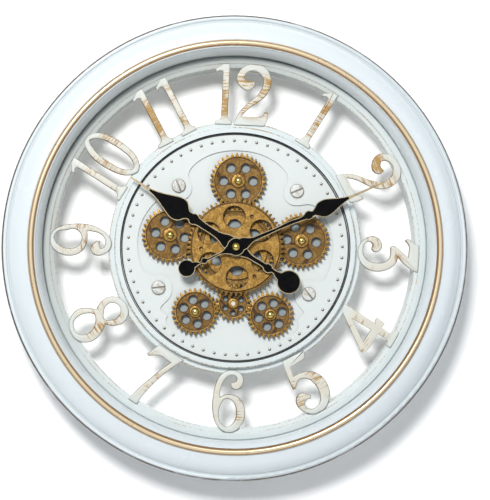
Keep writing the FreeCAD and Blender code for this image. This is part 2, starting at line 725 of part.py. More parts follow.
def build_movement_wheels():
    tip = minute_level + hand_thickness + 3.4
    pinion_phase = math.radians(90.0)
    arbor = rod(minute_arbor, lid_high + 0.4, tip)
    wire = gear_wire(minute_teeth, motion_module, pinion_phase, 0.0, 0.0, short_addendum)
    arbor = fused([prism([wire], wheel_low, wheel_high), arbor])
    save("minute_arbor", arbor)
    x, z = motion_spot
    wheel_phase = meshed_phase(minute_teeth, pinion_phase, math.radians(90.0), motion_teeth)
    bore = circle(0.9 + running_fit, x, z)
    wire = gear_wire(motion_teeth, motion_module, wheel_phase, x, z, short_addendum)
    wheel = prism([wire, bore], wheel_low, wheel_high)
    small_phase = math.radians(-90.0)
    wire = gear_wire(motion_pinion_teeth, hour_module, small_phase, x, z, short_addendum)
    small = prism([wire, bore], wheel_high, hour_high + 0.4)
    save("motion_wheel", wheel.fuse(small).removeSplitter())
    hour_phase = meshed_phase(motion_pinion_teeth, small_phase, math.radians(-90.0), hour_teeth)
    pipe_bore = minute_arbor + running_fit
    wire = gear_wire(hour_teeth, hour_module, hour_phase, 0.0, 0.0, short_addendum)
    hour = prism([wire, circle(pipe_bore)], hour_low, hour_high)
    pipe = tube(hour_pipe, pipe_bore, hour_high, hour_level + hand_thickness + 0.6)
    save("hour_wheel", hour.fuse(pipe).removeSplitter())
    x, z = knob_spot
    toward = math.radians(150.0)
    knob_phase = meshed_phase(motion_teeth, wheel_phase, toward, minute_teeth)
    wire = gear_wire(minute_teeth, motion_module, knob_phase, x, z, short_addendum)
    knob = fused([
        prism([wire], wheel_low, wheel_high),
        rod(pin_radius, lid_low - slip_gap, wheel_low, x, z),
    ])
    grip = rod(6.0, lid_low - 5.0, lid_low - slip_gap, x, z)
    for index in range(18):
        dx, dz = polar(6.2, index * 20.0)
        grip = grip.cut(rod(0.5, lid_low - 6.0, lid_low, x + dx, z + dz))
    save("set_knob", knob.fuse(grip).removeSplitter())


# Half outline of a hand, (distance along it, half width), mirrored about its centre line.
def hand_shape(blade, tail, hub, disc, disc_at, low, degrees, bore):
    turn = math.radians(degrees)

    def put(point):
        along, side = point
        return Vector(along * math.sin(turn) + side * math.cos(turn), 0,
                      along * math.cos(turn) - side * math.sin(turn))

    def mirrored(runs):
        back = [[(x, -w) for x, w in reversed(run)] for run in reversed(runs)]
        return runs + back
    high = low + hand_thickness
    pieces = [prism([outline(mirrored(blade), put)], low, high)]
    pieces.append(prism([outline(mirrored(tail), put)], low, high))
    pieces.append(rod(hub, low, high))
    spot = put((disc_at, 0.0))
    pieces.append(rod(disc, low, high, spot.x, spot.z))
    return fused(pieces).cut(rod(bore, low - 1.0, high + 1.0))


def build_hands():
    blade = [
        [(4, 6.5), (13, 8.2), (20, 5.6), (34, 4.0), (48, 4.4), (53, 5.2)],
        [(54.5, 6.4), (57, 6.8), (59.5, 6.4), (61, 5.2)],
        [(65, 5.0)],
        [(68, 7.6), (73, 12.4), (78, 13.6), (86, 12.0), (97, 7.6), (110, 3.4), (123, 1.5)],
        [(hour_reach, 0.8)],
        [(hour_reach, -0.8)],
    ]
    tail = [
        [(-4, 6.5), (-11, 6.0), (-18, 3.6), (-28, 3.0), (-39, 3.4)],
        [(-41, 5.0), (-43.5, 5.3), (-46, 5.0), (-48, 3.4)],
        [(-54, 3.4), (-60, 5.0)],
        [(-60, -5.0)],
    ]
    hour = hand_shape(blade, tail, 11.4, 13.6, -71.9, hour_level, hour_angle, hour_pipe)
    save("hour_hand", hour)
    blade = [
        [(4, 5.4), (11, 7.0), (18, 3.8), (32, 2.4), (50, 2.0), (72, 2.5), (86, 3.4)],
        [(87.5, 4.7), (90, 5.1), (92.5, 4.7), (94, 3.6)],
        [(96.6, 3.2)],
        [(100, 5.6), (105, 9.0), (110, 9.9), (117, 8.8), (127, 5.2), (137, 2.5), (147, 1.4)],
        [(minute_reach, 0.8)],
        [(minute_reach, -0.8)],
    ]
    tail = [
        [(-4, 5.4), (-9, 5.4), (-15, 2.4), (-28, 1.5), (-36, 1.9)],
        [(-37.5, 3.4), (-39, 3.6), (-40.5, 3.4), (-42, 2.0)],
        [(-47, 2.2), (-52, 3.6)],
        [(-52, -3.6)],
    ]
    minute = hand_shape(blade, tail, 10.2, 9.8, -60.8, minute_level, minute_angle, minute_arbor)
    save("minute_hand", minute)
    low = minute_level + hand_thickness
    save("hand_nut", dome_cap(4.8, low, low + 1.6, low + 5.4, minute_arbor, low + 3.4))


def build_centre_bushing():
    bush = tube(wheel_bush, movement_bush, gear_low - slip_gap, crown_high + slip_gap)
    flange = tube(wheel_bush + 3.0, movement_bush, crown_high + slip_gap, crown_high + slip_gap + 1.0)
    save("center_bushing", bush.fuse(flange).removeSplitter())


# ---- drive unit ----

idler_distance = gearbox_module * (output_teeth + idler_pinion_teeth) / 2.0
motor_distance = gearbox_module * (idler_wheel_teeth + motor_teeth) / 2.0
motor_radius = 10.0
drive_half = max(58.0, idler_distance + motor_distance + motor_radius + 4.5)
drive_top = lower_spot[1] + 21.9
bay_top = lower_spot[1] - 21.1
bay_bottom = bay_top - 15.0
drive_lid_low = seat - 22.0
drive_lid_high = seat - 19.0
bay_rim = seat - 19.4
door_low = seat - 21.7
door_high = seat - 19.7
rail_low = seat - 23.0
output_low = seat - 5.0
output_high = seat - 2.6
idler_low = seat - 9.0
idler_high = seat - 6.6
motor_high = seat - 10.0
switch_x = -32.0
switch_z = lower_spot[1] + 1.9


def build_drive_case():
    idler_x = idler_distance
    low_z = lower_spot[1]
    outer = block(-drive_half, drive_half, bay_bottom - 2.0, drive_top, drive_lid_high, seat)
    inner = block(-drive_half + 2.0, drive_half - 2.0, bay_top + 2.0, drive_top - 2.0, drive_lid_high - 1.0, seat - 2.0)
    bay = block(-drive_half + 2.0, drive_half - 2.0, bay_bottom, bay_top, drive_lid_high - 1.0, seat - 2.0)
    case = outer.cut(inner).cut(bay)
    case = case.cut(block(-drive_half - 1.0, drive_half + 1.0, bay_bottom - 3.0, bay_top + 2.0,
                          drive_lid_high - 1.0, bay_rim))
    rail = block(-drive_half, drive_half, bay_bottom - 4.0, bay_bottom - 2.0, rail_low, seat)
    lip = block(-drive_half, drive_half, bay_bottom - 4.0, bay_bottom - 0.5, rail_low, rail_low + 1.0)
    case = fused([case, rail, lip, rod(pin_radius, idler_low - 0.6, seat - 2.0, idler_x, low_z)])
    case = case.cut(rod(post_radius + running_fit, seat - 3.0, seat + 1.0, 0.0, low_z))
    save("drive_case", case)
    lid = block(-drive_half, drive_half, bay_top + 2.3, drive_top, drive_lid_low, drive_lid_high)
    lid = lid.fuse(block(-drive_half, drive_half, bay_top - 1.0, bay_top + 5.0, rail_low, rail_low + 1.0))
    lid = lid.fuse(tube(5.0, post_radius + running_fit, drive_lid_high, output_low - 1.0, 0.0, low_z))
    motor_x = idler_distance + motor_distance
    lid = lid.fuse(tube(motor_radius + 1.6, motor_radius + 0.1, drive_lid_high, motor_high - 1.0, motor_x, low_z))
    lid = lid.removeSplitter()
    lid = lid.cut(block(switch_x - 5.4, switch_x + 5.4, switch_z - 2.2, switch_z + 2.2,
                        drive_lid_low - 1.0, drive_lid_high + 1.0))
    save("drive_lid", lid)
    save("drive_motor", tube(motor_radius, 1.0 + running_fit, drive_lid_high, motor_high, motor_x, low_z))


def build_drive_train():
    low_z = lower_spot[1]
    phase = math.radians(90.0)
    wire = gear_wire(output_teeth, gearbox_module, phase, 0.0, low_z)
    output = fused([
        prism([wire], output_low, output_high),
        rod(post_radius, drive_lid_high + slip_gap, gear_high + 1.0, 0.0, low_z),
    ])
    save("output_arbor", output)
    x = idler_distance
    pinion_phase = meshed_phase(output_teeth, phase, 0.0, idler_pinion_teeth)
    bore = circle(pin_radius + running_fit, x, low_z)
    wire = gear_wire(idler_pinion_teeth, gearbox_module, pinion_phase, x, low_z)
    pinion = prism([wire, bore], idler_high, output_high)
    wheel_phase = math.radians(0.0)
    wire = gear_wire(idler_wheel_teeth, gearbox_module, wheel_phase, x, low_z)
    wheel = prism([wire, bore], idler_low, idler_high)
    save("idler_gear", pinion.fuse(wheel).removeSplitter())
    motor_phase = meshed_phase(idler_wheel_teeth, wheel_phase, 0.0, motor_teeth)
    x = x + motor_distance
    wire = gear_wire(motor_teeth, gearbox_module, motor_phase, x, low_z)
    motor = fused([
        prism([wire], idler_low, idler_high),
        rod(1.0, drive_lid_high + 1.0, idler_low + 1.0, x, low_z),
    ])
    save("motor_pinion", motor)


def build_drive_parts():
    z = (bay_top + bay_bottom) / 2.0
    height = seat - 10.0
    side = battery_length / 2.0 + 0.2
    cells = [battery(-side, z, height), battery(side, z, height)]
    save("drive_batteries", Part.makeCompound(cells))
    contacts = []
    for end in (-1, 1):
        x = end * (drive_half - 2.0)
        plate = block(min(x, x - end * 0.6), max(x, x - end * 0.6), z - 5.0, z + 5.0, height - 6.0, height + 6.0)
        reach = drive_half - 2.6 - (side + battery_length / 2.0)
        start = Vector(x - end * 0.6, -height, z)
        coil = Part.makeCone(4.2, 2.8, reach, start, Vector(-end, 0, 0))
        contacts.append(plate.fuse(coil))
    save("drive_contacts", Part.makeCompound(contacts))
    body = block(switch_x - 8.0, switch_x + 8.0, switch_z - 4.0, switch_z + 4.0, drive_lid_high, drive_lid_high + 6.0)
    body = body.cut(block(switch_x - 6.6, switch_x + 6.6, switch_z - 2.6, switch_z + 2.6,
                          drive_lid_high - 1.0, drive_lid_high + 3.4))
    save("switch_body", body)
    slider = block(switch_x - 4.6, switch_x + 0.6, switch_z - 2.2, switch_z + 2.2,
                   drive_lid_high + 0.4, drive_lid_high + 2.8)
    slider = slider.fuse(block(switch_x - 3.6, switch_x - 0.4, switch_z - 1.7, switch_z + 1.7,
                               drive_lid_low - 1.6, drive_lid_high + 0.4))
    save("switch_slider", slider.removeSplitter())
    door = block(-drive_half + 0.6, drive_half - 0.6, bay_bottom - 1.7, bay_top + 2.0, door_low, door_high)
    for index in range(5):
        x = 40.0 + index * 3.0
        door = door.fuse(block(x, x + 1.2, z - 4.0, z + 4.0, door_low - 0.6, door_low))
    save("drive_door", door.removeSplitter())


def build_drum():
    drum = tube(drum_outer * unit, drum_outer * unit - drum_wall, 7.0, seat)
    posts = []
    for index in range(6):
        x, z = polar(screw_circle, index * 60.0)
        posts.append(rod(post_boss, 7.0, seat, x, z))
    drum = fused([drum] + posts)
    cover = rod(drum_outer * unit, 4.0, 7.0)
    cover = cover.cut(block(-case_half - 3.0, case_half + 3.0, -case_half - 3.0, case_half + 3.0, 3.0, 8.0))
    cover = cover.cut(block(-drive_half - 3.0, drive_half + 3.0, bay_bottom - 6.0, drive_top + 4.0, 3.0, 8.0))
    screws = []
    for index in range(6):
        x, z = polar(screw_circle, index * 60.0)
        drum = drum.cut(rod(screw_shank, 6.0, seat + 1.0, x, z))
        cover = cover.cut(rod(screw_shank, 3.0, 8.0, x, z))
        cover = cover.cut(rod(3.4, 3.0, 5.4, x, z))
        screws.append(screw(x, z, screw_shank, 4.0, seat + 8.0, 3.2, 4.0, 5.4, 3.0, 4.6))
    save("rear_drum", drum)
    save("back_cover", cover)
    save("cover_screws", Part.makeCompound(screws))


build_gears()
build_centre_gears()
build_bezel()
build_back_ring()
build_ring_screws()
build_hanger()
build_chapter_band()
build_hub_ring()
build_numerals()
build_dial_plate()
build_base_plate()
build_posts()
build_drum()
build_movement()
build_movement_wheels()
build_hands()
build_centre_bushing()
build_drive_case()
build_drive_train()
build_drive_parts()
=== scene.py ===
import bpy
import bmesh
import json
import math
from mathutils import Matrix, Vector

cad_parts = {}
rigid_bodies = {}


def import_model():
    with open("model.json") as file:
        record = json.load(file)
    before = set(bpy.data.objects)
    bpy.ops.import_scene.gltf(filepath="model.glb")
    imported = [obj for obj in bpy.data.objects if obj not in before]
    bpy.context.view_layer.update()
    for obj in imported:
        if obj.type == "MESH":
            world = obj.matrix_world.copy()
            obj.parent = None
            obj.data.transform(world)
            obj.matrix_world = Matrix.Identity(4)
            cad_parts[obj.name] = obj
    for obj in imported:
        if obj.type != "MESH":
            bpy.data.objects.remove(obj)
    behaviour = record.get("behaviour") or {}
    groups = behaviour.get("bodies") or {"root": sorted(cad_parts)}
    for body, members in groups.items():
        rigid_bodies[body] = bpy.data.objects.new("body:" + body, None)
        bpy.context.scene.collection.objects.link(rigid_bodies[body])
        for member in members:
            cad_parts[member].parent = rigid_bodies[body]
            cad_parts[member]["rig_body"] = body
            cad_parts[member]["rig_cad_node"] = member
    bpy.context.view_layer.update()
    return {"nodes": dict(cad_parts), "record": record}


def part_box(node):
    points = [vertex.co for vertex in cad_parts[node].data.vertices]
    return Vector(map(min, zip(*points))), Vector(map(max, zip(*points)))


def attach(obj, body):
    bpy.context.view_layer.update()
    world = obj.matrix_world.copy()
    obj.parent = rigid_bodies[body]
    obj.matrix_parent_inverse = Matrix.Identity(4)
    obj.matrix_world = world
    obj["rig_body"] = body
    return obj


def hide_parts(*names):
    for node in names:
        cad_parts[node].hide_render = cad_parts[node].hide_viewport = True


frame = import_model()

nodes = frame["nodes"]
bodyOf = {}
for bodyName, members in frame["record"]["behaviour"]["bodies"].items():
    for member in members:
        bodyOf[member] = bodyName
slotOf = {part["node"]: part["material_slot"] for part in frame["record"]["subparts"]}
print("frame loaded,", len(nodes), "nodes")


def clearSelection():
    if bpy.context.mode != "OBJECT":
        bpy.ops.object.mode_set(mode="OBJECT")
    bpy.ops.object.select_all(action="DESELECT")


def pick(piece):
    clearSelection()
    piece.select_set(True)
    bpy.context.view_layer.objects.active = piece


# in edit mode, selects only those verts, edges or faces for which test is true
def selectOnly(piece, kind, test):
    bpy.context.tool_settings.mesh_select_mode = tuple(kind == mode for mode in ("verts", "edges", "faces"))
    bpy.ops.mesh.select_all(action="DESELECT")
    mesh = bmesh.from_edit_mesh(piece.data)
    for element in getattr(mesh, kind):
        if test(element):
            element.select_set(True)
    bmesh.update_edit_mesh(piece.data)


# camera a little to the left and below, rolled so that the clock leans clockwise
cameraSetup = {
    "distance": 2.6,
    "left": 2.5,
    "below": 2.5,
    "roll": 2.4,
    "lens": 162.0,
    "aimRight": 0.0128,
    "aimDown": 0.0012,
    "farthest": 50.0,
}


def placeCamera(setup):
    bpy.ops.object.camera_add(location=(0, 0, 0))
    camera = bpy.context.object
    camera.name = "clockCamera"
    left = math.radians(setup["left"])
    below = math.radians(setup["below"])
    back = Vector((-math.sin(left) * math.cos(below), -math.cos(left) * math.cos(below), -math.sin(below)))
    roll = Matrix.Rotation(math.radians(setup["roll"]), 3, "Z")
    turn = (-back).to_track_quat("-Z", "Y").to_matrix() @ roll
    aim = turn @ Vector((setup["aimRight"], -setup["aimDown"], 0.0))
    camera.rotation_euler = turn.to_euler()
    camera.location = aim + back * setup["distance"]
    camera.data.lens = setup["lens"]
    camera.data.clip_end = setup["farthest"]
    bpy.context.scene.camera = camera


clearSelection()
placeCamera(cameraSetup)
print("camera placed")


# sets a number or a colour on a socket, and links anything else to it
def feed(tree, socket, value):
    if isinstance(value, tuple) and len(value) == 3 and socket.type == "RGBA":
        value = value + (1.0,)
    if isinstance(value, (int, float, tuple)):
        socket.default_value = value
    else:
        tree.links.new(value, socket)


def addNode(tree, kind, **settings):
    node = tree.nodes.new(kind)
    for key, value in settings.items():
        if key in node.inputs:
            feed(tree, node.inputs[key], value)
        else:
            setattr(node, key, value)
    return node


def mathNode(tree, operation, *values):
    node = addNode(tree, "ShaderNodeMath", operation=operation)
    for socket, value in zip(node.inputs, values):
        feed(tree, socket, value)
    return node.outputs[0]


def times(tree, first, *others):
    for value in others:
        first = mathNode(tree, "MULTIPLY", first, value)
    return first


# value times factor, plus base
def scaled(tree, value, factor, base):
    return mathNode(tree, "MULTIPLY_ADD", value, factor, base)


def without(tree, value):
    return mathNode(tree, "SUBTRACT", 1.0, value)


def lengthOf(tree, first, second):
    total = mathNode(tree, "ADD", times(tree, first, first), times(tree, second, second))
    return mathNode(tree, "SQRT", total)


# smooth 0 to 1 as value goes from low to high
def stepNode(tree, value, low, high):
    node = addNode(tree, "ShaderNodeMapRange", interpolation_type="SMOOTHSTEP")
    for name, amount in (("Value", value), ("From Min", low), ("From Max", high)):
        feed(tree, node.inputs[name], amount)
    return node.outputs["Result"]


# 1 between two limits: where it starts, is full, starts to fade and is gone
def bandNode(tree, value, start, full, fade, gone):
    return times(tree, stepNode(tree, value, start, full), without(tree, stepNode(tree, value, fade, gone)))


def axesOf(tree, vector):
    node = tree.nodes.new("ShaderNodeSeparateXYZ")
    tree.links.new(vector, node.inputs[0])
    return node.outputs


def joinAxes(tree, *values):
    node = tree.nodes.new("ShaderNodeCombineXYZ")
    for socket, value in zip(node.inputs, values):
        feed(tree, socket, value)
    return node.outputs[0]


def noiseNode(tree, vector, scale, **settings):
    return addNode(tree, "ShaderNodeTexNoise", Vector=vector, Scale=scale, **settings).outputs[0]


def mixColors(tree, mask, first, second):
    node = addNode(tree, "ShaderNodeMix", data_type="RGBA")
    for socket, value in ((node.inputs[0], mask), (node.inputs[6], first), (node.inputs[7], second)):
        feed(tree, socket, value)
    return node.outputs[2]


# lays color over tone where mask is high
def layer(tree, tone, mask, strength, color):
    return mixColors(tree, times(tree, mask, strength), tone, color)


# an input is a label with its number, or with None for a vector
def newGroup(name, inputs, outputs):
    group = bpy.data.node_groups.new(name, "ShaderNodeTree")
    for label, value in inputs.items():
        kind = "NodeSocketVector" if value is None else "NodeSocketFloat"
        socket = group.interface.new_socket(name=label, in_out="INPUT", socket_type=kind)
        if value is not None:
            socket.default_value = value
    for label, kind in outputs.items():
        group.interface.new_socket(name=label, in_out="OUTPUT", socket_type=kind)
    return group, group.nodes.new("NodeGroupInput").outputs, group.nodes.new("NodeGroupOutput").inputs


dialMeasure = {
    "seamTurn": 16.0,  # turns the seam of the angle to where it lies between two numerals
    "middle": 0.175,  # radius at which length round the dial is true
}


# distance from the hand arbor, height off the wall and length round the dial, all in metres
def buildDialPlace(measure):
    group, start, end = newGroup("dialPlace", {"Vector": None}, {
        "Radius": "NodeSocketFloat", "Height": "NodeSocketFloat", "Around": "NodeSocketVector"})
    x, y, z = axesOf(group, start["Vector"])
    radius = lengthOf(group, x, z)
    height = times(group, y, -1.0)
    turned = addNode(group, "ShaderNodeVectorRotate", rotation_type="Y_AXIS", Vector=start["Vector"],
                     Angle=math.radians(measure["seamTurn"]))
    side = axesOf(group, turned.outputs[0])
    angle = mathNode(group, "ARCTAN2", side[0], side[2])
    group.links.new(radius, end["Radius"])
    group.links.new(height, end["Height"])
    group.links.new(joinAxes(group, radius, times(group, angle, measure["middle"]), height), end["Around"])
    return group


# dry brush strokes: long thin noise kept only inside larger worn patches
def buildBrushRub():
    group, start, end = newGroup("brushRub", {
        "Vector": None, "Stroke Scale": 900.0, "Stretch": 0.12, "Patch Scale": 40.0, "Cover": 0.5,
        "Edge": 0.08}, {"Mask": "NodeSocketFloat"})
    x, y, z = axesOf(group, start["Vector"])
    drawn = joinAxes(group, x, times(group, y, start["Stretch"]), z)
    strokes = noiseNode(group, drawn, start["Stroke Scale"], Detail=3.0, Roughness=0.6, Distortion=0.3)
    patches = noiseNode(group, start["Vector"], start["Patch Scale"], Detail=2.0, Roughness=0.5)
    both = mathNode(group, "ADD", times(group, strokes, 0.6), times(group, patches, 0.4))
    low = scaled(group, without(group, start["Cover"]), 0.5, 0.25)
    high = mathNode(group, "ADD", low, start["Edge"])
    group.links.new(stepNode(group, both, low, high), end["Mask"])
    return group


# slow waves and fine grain of a moulded or cast skin
def buildSkinGrain():
    group, start, end = newGroup("skinGrain", {"Vector": None, "Grain": 2500.0, "Wave": 60.0, "Share": 0.5}, {
        "Height": "NodeSocketFloat", "Mottle": "NodeSocketFloat"})
    grain = noiseNode(group, start["Vector"], start["Grain"], Detail=2.0, Roughness=0.5)
    wave = noiseNode(group, start["Vector"], start["Wave"], Detail=3.0, Roughness=0.55)
    group.links.new(mathNode(group, "ADD", times(group, grain, start["Share"]), wave), end["Height"])
    group.links.new(wave, end["Mottle"])
    return group


# scratches and stain in the hollows of cast metal
def buildMetalAge():
    group, start, end = newGroup("metalAge", {"Vector": None, "Stain Scale": 120.0, "Vein Scale": 260.0}, {
        "Stain": "NodeSocketFloat", "Vein": "NodeSocketFloat", "Height": "NodeSocketFloat"})
    stain = noiseNode(group, start["Vector"], start["Stain Scale"], Detail=5.0, Roughness=0.65)
    vein = noiseNode(group, start["Vector"], start["Vein Scale"], Detail=4.0, Roughness=0.6, Distortion=1.6)
    ridge = mathNode(group, "ABSOLUTE", mathNode(group, "SUBTRACT", vein, 0.5))
    line = without(group, stepNode(group, ridge, 0.0, 0.045))
    group.links.new(stepNode(group, stain, 0.42, 0.66), end["Stain"])
    group.links.new(line, end["Vein"])
    group.links.new(mathNode(group, "SUBTRACT", stain, times(group, line, 0.3)), end["Height"])
    return group


dialPlace = buildDialPlace(dialMeasure)
brushRub = buildBrushRub()
skinGrain = buildSkinGrain()
metalAge = buildMetalAge()


def useGroup(tree, group, **values):
    node = addNode(tree, "ShaderNodeGroup", node_tree=group)
    for key, value in values.items():
        feed(tree, node.inputs[key.replace("_", " ")], value)
    return node.outputs


# a material with its shader and Object coordinates ready
def newFinish(name, color, roughness=0.5, metallic=0.0, coat=0.0, coatRoughness=0.05, specular=0.5):
    material = bpy.data.materials.new(name)
    material.use_nodes = True
    material.diffuse_color = color + (1.0,)
    tree = material.node_tree
    shader = tree.nodes["Principled BSDF"]
    settings = {"Base Color": color, "Roughness": roughness, "Metallic": metallic, "Coat Weight": coat,
                "Coat Roughness": coatRoughness, "Specular IOR Level": specular}
    for label, value in settings.items():
        feed(tree, shader.inputs[label], value)
    place = addNode(tree, "ShaderNodeTexCoord", name="place").outputs["Object"]
    return material, tree, shader, place


# x, y and z of the surface's own direction
def normalAxes(tree):
    return axesOf(tree, tree.nodes["place"].outputs["Normal"])


# 1 in the upper left of the clock, where more shade is painted into the cove
def upperLeft(tree, place):
    x, y, z = axesOf(tree, place)
    return stepNode(tree, mathNode(tree, "SUBTRACT", z, x), -0.08, 0.22)


def bumpTo(tree, shader, relief, strength, distance):
    bump = addNode(tree, "ShaderNodeBump", Strength=strength, Distance=distance, Height=relief)
    tree.links.new(bump.outputs["Normal"], shader.inputs["Normal"])


# tone, roughness and relief go to the shader
def closeFinish(tree, shader, look, tone, gloss, relief):
    tree.links.new(tone, shader.inputs["Base Color"])
    spread = addNode(tree, "ShaderNodeMapRange", Value=gloss)
    spread.inputs["To Min"].default_value, spread.inputs["To Max"].default_value = look["roughness"]
    tree.links.new(spread.outputs["Result"], shader.inputs["Roughness"])
    bumpTo(tree, shader, relief, *look["bump"])


frameLacquer = {
    "white": (0.67, 0.73, 0.76),
    "cool": (0.56, 0.63, 0.7),
    "hollow": (0.4, 0.43, 0.42),
    "edgeGold": (0.06, 0.04, 0.022),
    "beadGlow": (0.42, 0.28, 0.14),
    "edgeRadius": (0.2624, 0.2632),
    "edgeHeight": (0.0434, 0.0444),
    "besideBead": (0.2268, 0.2278, 0.2348, 0.2358),
    "groove": (0.2568, 0.2574, 0.2588, 0.2596),
    "coveRadius": (0.2185, 0.2275),
    "coveShade": (0.6, 0.08),
    "roughness": (0.16, 0.34),
    "bump": (0.06, 0.0006),
}


def buildFrameLacquer(look):
    finish, tree, shader, place = newFinish("frameLacquer", look["white"], coat=0.6, coatRoughness=0.08)
    where = useGroup(tree, dialPlace, Vector=place)
    radius = where["Radius"]
    grain = useGroup(tree, skinGrain, Vector=place, Grain=900.0, Wave=28.0, Share=0.2)
    # the thin dark gold line on the outermost edge, and a breath of gold beside the bead
    breaks = scaled(tree, stepNode(tree, grain["Mottle"], 0.3, 0.45), 0.35, 0.65)
    line = times(tree, stepNode(tree, radius, *look["edgeRadius"]),
                 stepNode(tree, where["Height"], *look["edgeHeight"]), breaks)
    tone = layer(tree, look["white"], grain["Mottle"], 0.12, look["cool"])
    tone = layer(tree, tone, bandNode(tree, radius, *look["besideBead"]), 0.6, look["beadGlow"])
    # painted shade in the groove near the outer lip
    tone = layer(tree, tone, bandNode(tree, radius, *look["groove"]), 0.4, look["hollow"])
    # grey painted shade in the cove inside the bead, most of it in the upper left
    cove = without(tree, stepNode(tree, radius, *look["coveRadius"]))
    tone = layer(tree, tone, cove, scaled(tree, upperLeft(tree, place), *look["coveShade"]), look["hollow"])
    tone = mixColors(tree, line, tone, look["edgeGold"])
    closeFinish(tree, shader, look, tone, grain["Mottle"], grain["Height"])
    return finish


ringPaint = {
    "white": (0.61, 0.665, 0.67),
    "old": (0.5, 0.54, 0.53),
    "gold": (0.36, 0.22, 0.09),
    "hollow": (0.36, 0.385, 0.365),
    "gap": (0.012, 0.011, 0.01),
    "goldEdges": [(0.2046, 0.2052, 0.2062, 0.2068), (0.21, 0.2104, 0.2109, 0.2113),
                  (0.1356, 0.1362, 0.1372, 0.1378), (0.1423, 0.1428, 0.1441, 0.1446)],
    "frontHeight": (0.0364, 0.0374),
    "gapRadius": (0.1287, 0.129, 0.1309, 0.1312),
    "coveRadius": (0.2, 0.204),
    "coveShade": (0.66, 0.06),
    "roughness": (0.4, 0.6),
    "bump": (0.12, 0.0005),
}


def buildRingPaint(look):
    finish, tree, shader, place = newFinish("ringPaint", look["white"])
    where = useGroup(tree, dialPlace, Vector=place)
    radius = where["Radius"]
    grain = useGroup(tree, skinGrain, Vector=place, Grain=1400.0, Wave=45.0, Share=0.3)
    rub = useGroup(tree, brushRub, Vector=place, Stroke_Scale=500.0, Stretch=1.0, Patch_Scale=24.0,
                   Cover=0.56, Edge=0.12)
    edges = bandNode(tree, radius, *look["goldEdges"][0])
    for limits in look["goldEdges"][1:]:
        edges = mathNode(tree, "MAXIMUM", edges, bandNode(tree, radius, *limits))
    edges = times(tree, edges, stepNode(tree, where["Height"], *look["frontHeight"]), rub["Mask"])
    tone = layer(tree, look["white"], grain["Mottle"], 0.2, look["old"])
    # the painted shade of the cove runs on over the outer band
    cove = stepNode(tree, radius, *look["coveRadius"])
    tone = layer(tree, tone, cove, scaled(tree, upperLeft(tree, place), *look["coveShade"]), look["hollow"])
    tone = layer(tree, tone, edges, 0.8, look["gold"])
    tone = mixColors(tree, bandNode(tree, radius, *look["gapRadius"]), tone, look["gap"])
    closeFinish(tree, shader, look, tone, grain["Mottle"], grain["Height"])
    return finish


numeralPaint = {
    "cream": (0.64, 0.62, 0.55),
    "old": (0.47, 0.44, 0.36),
    "white": (0.6, 0.64, 0.62),
    "gold": (0.36, 0.195, 0.03),
    "deepGold": (0.24, 0.115, 0.022),
    "shade": (0.07, 0.05, 0.032),
    "cover": 0.44,
    "moreAbove": 0.15,
    "frontHeight": (0.0376, 0.0386),
    "middle": (0.144, 0.156, 0.192, 0.206),
    "roughness": (0.36, 0.6),
    "bump": (0.3, 0.0006),
}


def buildNumeralPaint(look):
    finish, tree, shader, place = newFinish("numeralPaint", look["cream"], specular=0.3)
    where = useGroup(tree, dialPlace, Vector=place)
    # more gold was left on the upper numerals than on the lower ones
    upper = stepNode(tree, axesOf(tree, place)[2], 0.02, 0.15)
    strokes = useGroup(tree, brushRub, Vector=where["Around"], Stroke_Scale=620.0, Stretch=0.12,
                       Patch_Scale=42.0, Cover=scaled(tree, upper, look["moreAbove"], look["cover"]), Edge=0.1)
    grain = useGroup(tree, skinGrain, Vector=place, Grain=1600.0, Wave=140.0, Share=0.4)
    slow = useGroup(tree, skinGrain, Vector=place, Grain=200.0, Wave=46.0, Share=0.2)
    normal = normalAxes(tree)
    facing = times(tree, normal[1], -1.0)
    front = stepNode(tree, where["Height"], *look["frontHeight"])
    edge = times(tree, front, without(tree, stepNode(tree, facing, 0.6, 0.995)))
    # the edges that face left and up get more gold than the others
    lean = scaled(tree, normal[2], -0.35, times(tree, normal[0], -1.0))
    facingLeftUp = stepNode(tree, lean, 0.05, 0.6)
    # the rub fades out where the ends lie over the rings
    middle = bandNode(tree, where["Radius"], *look["middle"])
    worn = stepNode(tree, slow["Mottle"], 0.38, 0.56)
    rubbed = times(tree, strokes["Mask"], scaled(tree, middle, 0.86, 0.06), scaled(tree, front, 0.8, 0.2))
    gilt = times(tree, facingLeftUp, edge, middle, scaled(tree, worn, 0.6, 0.4))
    # a thin dark line where the rim turns down to the wall
    steep = without(tree, stepNode(tree, facing, 0.5, 0.95))
    deep = times(tree, steep, scaled(tree, front, 0.85, 0.15), scaled(tree, middle, 0.45, 0.45))
    tone = layer(tree, look["cream"], grain["Mottle"], 0.3, look["old"])
    tone = layer(tree, tone, without(tree, middle), 0.7, look["white"])
    tone = mixColors(tree, rubbed, tone, look["gold"])
    tone = mixColors(tree, gilt, tone, look["deepGold"])
    tone = layer(tree, tone, deep, scaled(tree, worn, 0.3, 0.6), look["shade"])
    relief = mathNode(tree, "SUBTRACT", grain["Height"], times(tree, strokes["Mask"], 0.6))
    closeFinish(tree, shader, look, tone, strokes["Mask"], relief)
    return finish


dialPaint = {
    "white": (0.62, 0.66, 0.65),
    "old": (0.53, 0.57, 0.56),
    "gap": (0.01, 0.01, 0.01),
    "dome": (0.13, 0.085, 0.045),
    "rim": (0.05, 0.05, 0.048),
    "domeRadius": (0.1192, 0.1198, 0.1242, 0.1248),
    "domeHeight": (0.04064, 0.0407),
    "openingRadius": (0.1185, 0.119),
    "rimHeight": (0.0391, 0.0393),
    "gapRadius": (0.1279, 0.1284, 0.1308, 0.1311),
    "roughness": (0.36, 0.56),
    "bump": (0.12, 0.0005),
}


